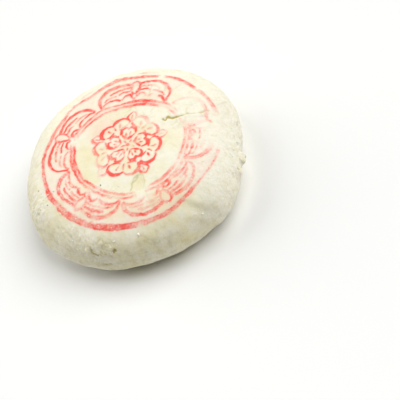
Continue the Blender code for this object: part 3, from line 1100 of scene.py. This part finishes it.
def surface(mesh):
    """The mesh's points in millimetres and its point normals."""
    places, normals = (
        read_values(items, name, each=3).reshape(-1, 3).astype(float)
        for items, name in ((mesh.vertices, "co"), (mesh.vertex_normals, "vector")))
    return places / MM, normals


def lay_out_map(mesh, run, angle, radius, on_foot):
    """A flat map of the crust: the top in the middle of one disc, the side round it.

    A point's distance from the disc's middle is its share of the way down the profile. The foot
    has a small disc of its own in the corner, seen from below.
    """
    across, along = np.cos(angle), np.sin(angle)
    foot_share = radius / radius[run > ON_FOOT].max()
    crust = MAP_MIDDLE + MAP_RADIUS * run[:, None] * np.stack((across, along), axis=1)
    foot = FOOT_MAP_MIDDLE + FOOT_MAP_RADIUS * foot_share[:, None] * np.stack(
        (across, -along), axis=1)
    corners = read_values(mesh.loops, "vertex_index", np.int32)
    flat = np.repeat(on_foot, read_values(mesh.polygons, "loop_total", np.int32))
    places = np.where(flat[:, None], foot[corners], crust[corners])
    mesh.uv_layers.new(name="OFBake").uv.foreach_set("vector", places.astype(np.float32).ravel())


def pebbles(middles, normals, sizes, lift, seed):
    """Many small closed lumps, as points and faces.

    Each is a ball, with rows from pole to pole and columns round, stretched to its three sizes,
    made irregular by noise, lifted by its own share and turned to lie on the surface at a random
    heading.
    """
    rows, columns = LUMP_ROWS, LUMP_COLUMNS
    draw = np.random.default_rng(seed)
    up = normals / np.linalg.norm(normals, axis=1, keepdims=True)
    side = np.cross(up, draw.normal(size=up.shape))
    side /= np.linalg.norm(side, axis=1, keepdims=True)
    axes = np.stack((side, np.cross(up, side), up), axis=1)
    tilt = np.linspace(-math.pi / 2, math.pi / 2, rows + 1)[1:-1]
    turn = np.linspace(0, math.tau, columns, endpoint=False)
    ball = np.stack((np.outer(np.cos(tilt), np.cos(turn)), np.outer(np.cos(tilt), np.sin(turn)),
                     np.outer(np.sin(tilt), np.ones(columns))), axis=-1).reshape(-1, 3)
    ball = np.vstack(((0, 0, -1), ball, (0, 0, 1)))
    lumps = ball[None] * sizes[:, None, :]
    key = ball[None] + 50 * draw.random((len(middles), 1, 3))
    uneven = 1 + LUMP_UNEVEN * noise(key.reshape(-1, 3), LUMP_CELL, seed)
    lumps *= np.maximum(uneven, LUMP_LEAST).reshape(len(middles), -1, 1)
    world = np.einsum("nki,nij->nkj", lumps, axes) + (middles + up * lift[:, None])[:, None]
    ring = 1 + np.arange(columns)
    last = len(ball) - 1
    cap = np.stack((np.zeros(columns, int), np.roll(ring, -1), ring), axis=1)
    bands = [np.stack((ring + k * columns, np.roll(ring, -1) + k * columns,
                       np.roll(ring, -1) + (k + 1) * columns, ring + (k + 1) * columns), axis=1)
             for k in range(rows - 2)]
    top = ring + (rows - 2) * columns
    lid = np.stack((np.full(columns, last), top, np.roll(top, -1)), axis=1)
    shift = np.arange(len(middles))[:, None, None] * len(ball)
    faces = [f.tolist() for part in (cap, np.vstack(bands), lid)
             for f in (part[None] + shift).reshape(-1, part.shape[1])]
    return world.reshape(-1, 3), faces


# ---------------------------------------------------------------- settings


class FlowerCakeShape(bpy.types.PropertyGroup):
    """Sizes of the pastry."""

    diameter: FloatProperty(
        name="Diameter", description="Mean width of the cake at its bulge",
        default=80 * MM, min=0.01, unit="LENGTH")
    height: FloatProperty(
        name="Height", description="Height before the stamp sinks the top",
        default=23.4 * MM, min=0.005, unit="LENGTH")
    bulge_height: FloatProperty(
        name="Bulge height", description="Height at which the side is widest",
        default=8.4 * MM, min=0.001, unit="LENGTH")
    foot_diameter: FloatProperty(
        name="Foot diameter", description="Width of the flat part that the cake rests on",
        default=65 * MM, min=0.01, unit="LENGTH")
    relief: FloatProperty(
        name="Relief", description="How strongly the skin's unevenness shows",
        default=1.0, min=0.0, max=3.0, subtype="FACTOR")


def colour_setting(name, code, description):
    """A colour that the user can change, given by its sRGB hex code."""
    return FloatVectorProperty(name=name, description=description, default=linear(code),
                               subtype="COLOR", size=4, min=0, max=1)


class FlowerCakeLooks(bpy.types.PropertyGroup):
    """Colours of the crust and the print."""

    cream: colour_setting("Cream", "#F4F0DC", "Most of the crust")
    # Deep cream also stands for painted shade low on the near side and in the thumb-wide hollow.
    cream_deep: colour_setting("Deep cream", "#EEE5BC", "Warm clouds in the crust")
    floury: colour_setting("Floury white", "#FAF6EA", "Flour, torn skin and the tips of flakes")
    # Olive is the dough's tone in blotches, sheet edges and grain, and partly painted shade in
    # creases, gaps and pits.
    olive: colour_setting("Olive shade", "#CFC48F", "Creases and the gaps between grains")
    # Inside is the dough in the split, and painted shade in the pits and the blister's folds.
    inside: colour_setting("Inside", "#B5A052", "Dough that shows in the split and the pits")
    ink: colour_setting("Ink", "#F55A50", "Red food colour where it took well")
    ink_pale: colour_setting("Bled ink", "#F7B0A6", "Red food colour that crept into the dough")
    scorch: colour_setting("Scorch", "#55503F", "The few burnt specks")


class FlowerCakeLoose(bpy.types.PropertyGroup):
    """How much lies loose on the crust."""

    flakes: IntProperty(
        name="Flakes", description="Number of small lumps of loose skin", default=50, min=1)
    crumbs: IntProperty(
        name="Crumbs", description="Number of small white crumbs", default=110, min=1)
    seed: IntProperty(
        name="Seed", description="Changes where flakes and crumbs lie", default=5, min=0)


class FlowerCakeStage(bpy.types.PropertyGroup):
    """Floor, light and camera."""

    floor_colour: colour_setting("Floor", "#F4F4F2", "Colour of the plain floor")
    back_strength: FloatProperty(
        name="Back lamp", description="Strength of the large soft lamp behind on the left",
        default=1.80, min=0)
    side_strength: FloatProperty(
        name="Side lamp", description="Strength of the large soft lamp on the right",
        default=2.70, min=0)
    sky: FloatProperty(
        name="Surrounding light", description="Strength of the even light from all round",
        default=0.06, min=0)
    backdrop: FloatProperty(
        name="Backdrop", description="How bright the surroundings look beyond the floor",
        default=0.93, min=0)
    lens: FloatProperty(
        name="Lens", description="Focal length in millimetres", default=121.25, min=10,
        unit="CAMERA")


# ---------------------------------------------------------------- operators


class CAKE_OT_crust(bpy.types.Operator):
    """Make the cake's crust with its relief and its print"""

    bl_idname = "flower_cake.crust"
    bl_label = "Crust"
    bl_options = {"REGISTER", "UNDO"}

    def execute(self, context):
        shape = context.scene.flower_cake_shape
        points, quads, fan, on_foot, run, angle, radius = plain_cake(shape)
        points = settle_in_box(press(points, shape))
        faces = quads.tolist() + fan.tolist()
        material = crust_material(context.scene.flower_cake_looks)
        crust = new_piece("cake_crust", points, faces, material)
        mesh = crust.data
        on_foot = np.concatenate((on_foot, np.ones(len(fan), bool)))
        lay_out_map(mesh, run, angle, radius, on_foot)
        height, layers = crust_layers(points, run, angle)
        moved = points + surface(mesh)[1] * (height * shape.relief)[:, None]
        moved[:, 2] = np.maximum(moved[:, 2], 0)
        mesh.vertices.foreach_set("co", (moved * MM).ravel())
        mesh.update()
        for name in LAYERS:
            store(mesh, name, layers[name])
        return {"FINISHED"}


def lay_lumps(name, known, extra, where, lift, seed, material):
    """Lays lumps on the crust: the known ones, x, y, z, half-length, and extra ones at random.

    Known ones go to the nearest point of the crust. The extra ones, given by their half-lengths,
    go to points drawn by weight: that of the regions they lie in, and the same little elsewhere.
    Each is lifted by a share of its size.
    """
    crust = bpy.data.objects.get("cake_crust")
    if crust is None:
        raise RuntimeError("make the crust before what lies on it")
    points, normals = surface(crust.data)
    known = np.array(known)
    nearest = np.linalg.norm(points[None] - known[:, None, :3], axis=2).argmin(axis=1)
    table, elsewhere = where
    weight = (regions(points, table) + elsewhere) * (points[:, 2] > ABOVE_FLOOR)
    draw = np.random.default_rng(seed)
    chosen = draw.choice(len(points), len(extra), replace=False, p=weight / weight.sum())
    places = np.concatenate((nearest, chosen))
    size = np.concatenate((known[:, 3], extra))
    sizes = size[:, None] * np.array(LUMP_SHAPE)
    world, faces = pebbles(points[places], normals[places], sizes, lift * size, seed + 2)
    world[:, 2] = np.maximum(world[:, 2], 0)
    new_piece(name, world, faces, material)


class CAKE_OT_flakes(bpy.types.Operator):
    """Scatter small lumps of loose skin on the crust's side"""

    bl_idname = "flower_cake.flakes"
    bl_label = "Flakes"
    bl_options = {"REGISTER", "UNDO"}

    # The ones that stand out from the outline: x, y, z, half-length.
    FLAKES = ((39.3, -2.6, 10.6, 1.15), (39.4, -0.8, 9.6, 0.90), (39.2, 1.3, 9.2, 0.70),
              (39.1, -5.2, 11.0, 0.65), (38.6, 4.6, 9.4, 0.60), (38.2, 7.2, 9.8, 0.65))

    def execute(self, context):
        loose, looks = context.scene.flower_cake_loose, context.scene.flower_cake_looks
        draw = np.random.default_rng(loose.seed + 1)
        lay_lumps("crust_flakes", self.FLAKES, draw.uniform(*FLAKE_LENGTHS, loose.flakes),
                  (FLAKES_LIE, 0.002), -0.12, loose.seed,
                  crumb_material("loose_pastry_skin", looks.cream, looks.cream_deep, 1.5))
        return {"FINISHED"}


class CAKE_OT_crumbs(bpy.types.Operator):
    """Scatter white crumbs and the few scorched specks"""

    bl_idname = "flower_cake.crumbs"
    bl_label = "Crumbs"
    bl_options = {"REGISTER", "UNDO"}

    # The crumbs and the specks that are plain to see: x, y, z and half-width.
    CRUMBS = ((9.4, -34.4, 18.2, 0.60), (0.9, -36.4, 17.7, 0.42), (-13.2, -36.4, 15.0, 0.42),
              (27.2, -26.7, 15.6, 0.30), (29.4, -25.8, 14.2, 0.38), (-14.4, -34.3, 17.1, 0.34))
    SPECKS = ((-5.2, -16.4, 22.4, 0.26), (-24.6, -21.1, 20.3, 0.22))

    def execute(self, context):
        loose, looks = context.scene.flower_cake_loose, context.scene.flower_cake_looks
        draw = np.random.default_rng(loose.seed + 2)
        lengths = CRUMB_LEAST + CRUMB_MORE * draw.random(loose.crumbs) ** 2
        lay_lumps("white_crumbs", self.CRUMBS, lengths, (CRUMBS_LIE, 0.02), 0.12, loose.seed + 11,
                  crumb_material("moist_white_crumb", looks.floury, looks.cream, 0.5, 0.42))
        lay_lumps("scorched_specks", self.SPECKS, np.zeros(0), ((), 1.0), 0.0, loose.seed + 21,
                  crumb_material("scorched_crumb", looks.scorch, looks.scorch, 0.4))
        return {"FINISHED"}


class CAKE_OT_stage(bpy.types.Operator):
    """Make the floor, the lights and the camera"""

    bl_idname = "flower_cake.stage"
    bl_label = "Stage"
    bl_options = {"REGISTER", "UNDO"}

    # Angles are in degrees and lengths in millimetres.
    ELEVATION = 51.15
    AZIMUTH = 29.95
    ROLL = 29.25
    DISTANCE = 476.0
    AIM_RIGHT, AIM_UP = 19.81, -6.70  # where the camera points, seen in its own picture
    FLOOR_HALF = 1500.0
    LAMP_SPREAD = 60.0

    def execute(self, context):
        stage = context.scene.flower_cake_stage
        self.floor(stage)
        self.world(context, stage)
        self.camera(context, stage)
        self.lamp("back_lamp", stage.back_strength, turn=45.0, height=36.0)
        self.lamp("side_lamp", stage.side_strength, turn=-90.0, height=55.0)
        context.scene.view_settings.view_transform = "Standard"
        return {"FINISHED"}

    def floor(self, stage):
        """A flat sheet of plain paper."""
        material, _, shader = new_material("matte_paper_floor")
        shader.inputs["Base Color"].default_value = stage.floor_colour
        shader.inputs["Roughness"].default_value = 0.9
        corners = self.FLOOR_HALF * np.array(((-1, -1, 0), (1, -1, 0), (1, 1, 0), (-1, 1, 0)))
        mesh = bpy.data.meshes.new("floor")
        mesh.from_pydata(corners * MM, (), ((0, 1, 2, 3),))
        mesh.materials.append(material)
        floor = bpy.data.objects.new("floor", mesh)
        bpy.context.scene.collection.objects.link(floor)

    def world(self, context, stage):
        """Weak even light from all round, with a pale backdrop for the camera alone."""
        world = bpy.data.worlds.new("studio")
        world.use_nodes = True
        tree = world.node_tree
        tree.nodes.clear()
        seen = add_node(tree, "ShaderNodeLightPath").outputs["Is Camera Ray"]
        strength = add_node(tree, "ShaderNodeMapRange", None, {
            "Value": seen, "To Min": stage.sky, "To Max": stage.backdrop}).outputs["Result"]
        background = add_node(tree, "ShaderNodeBackground", None, {
            "Color": linear("#FFFFFF"), "Strength": strength})
        add_node(tree, "ShaderNodeOutputWorld", None, {"Surface": background.outputs[0]})
        context.scene.world = world

    def camera(self, context, stage):
        """Places the camera from its angles, and shifts its aim in its own picture."""
        elevation, roll = math.radians(self.ELEVATION), math.radians(self.ROLL)
        across = Vector((1, 0, 0))
        up = Vector((0, math.sin(elevation), math.cos(elevation)))
        ahead = Vector((0, math.cos(elevation), -math.sin(elevation)))
        right = across * math.cos(roll) - up * math.sin(roll)
        top = across * math.sin(roll) + up * math.cos(roll)
        place = right * self.AIM_RIGHT + top * self.AIM_UP - ahead * self.DISTANCE
        turn = Matrix.Rotation(math.radians(self.AZIMUTH), 3, "Z")
        right, top, ahead, place = (turn @ way for way in (right, top, ahead, place))
        data = bpy.data.cameras.new("photo_camera")
        data.sensor_width = 36
        data.lens = stage.lens
        data.clip_start = 0.01
        camera = bpy.data.objects.new("photo_camera", data)
        turned = Matrix((right, top, -ahead)).transposed()
        camera.matrix_world = Matrix.LocRotScale(place * MM, turned.to_quaternion(), None)
        context.scene.collection.objects.link(camera)
        context.scene.camera = camera

    def lamp(self, name, strength, turn, height):
        """A wide soft lamp. It turns to the left of the camera's way, and stands at its height."""
        heading = math.radians(90 + self.AZIMUTH + turn)
        rise = math.radians(height)
        way = Vector((math.cos(heading) * math.cos(rise), math.sin(heading) * math.cos(rise),
                      math.sin(rise)))
        data = bpy.data.lights.new(name, "SUN")
        data.angle = math.radians(self.LAMP_SPREAD)
        data.energy = strength
        lamp = bpy.data.objects.new(name, data)
        lamp.matrix_world = Matrix.LocRotScale(way, (-way).to_track_quat("-Z", "Y"), None)
        bpy.context.scene.collection.objects.link(lamp)


class CAKE_PT_panel(bpy.types.Panel):
    """Buttons and sizes of the flower cake"""

    bl_idname = "CAKE_PT_panel"
    bl_label = "Flower Cake"
    bl_space_type = "VIEW_3D"
    bl_region_type = "UI"
    bl_category = "Flower Cake"

    def draw(self, context):
        for operator, group in STEPS:
            box = self.layout.box()
            box.operator(operator.bl_idname)
            for name in getattr(context.scene, group).__annotations__:
                box.prop(getattr(context.scene, group), name)


GROUPS = {
    "flower_cake_shape": FlowerCakeShape,
    "flower_cake_looks": FlowerCakeLooks,
    "flower_cake_loose": FlowerCakeLoose,
    "flower_cake_stage": FlowerCakeStage,
}
STEPS = (
    (CAKE_OT_crust, "flower_cake_shape"),
    (CAKE_OT_flakes, "flower_cake_loose"),
    (CAKE_OT_crumbs, "flower_cake_looks"),
    (CAKE_OT_stage, "flower_cake_stage"),
)
CLASSES = (*GROUPS.values(), *(operator for operator, _ in STEPS), CAKE_PT_panel)


def register():
    """Registers the classes and hangs the settings on the scene."""
    for item in CLASSES:
        bpy.utils.register_class(item)
    for name, group in GROUPS.items():
        setattr(bpy.types.Scene, name, PointerProperty(type=group))


def unregister():
    """Takes the settings and the classes away again."""
    for name in GROUPS:
        delattr(bpy.types.Scene, name)
    for item in reversed(CLASSES):
        bpy.utils.unregister_class(item)


def main():
    """Makes everything in order."""
    register()
    bpy.ops.flower_cake.crust()
    bpy.ops.flower_cake.flakes()
    bpy.ops.flower_cake.crumbs()
    bpy.ops.flower_cake.stage()
    bpy.context.view_layer.update()


if __name__ == "__main__":
    main()
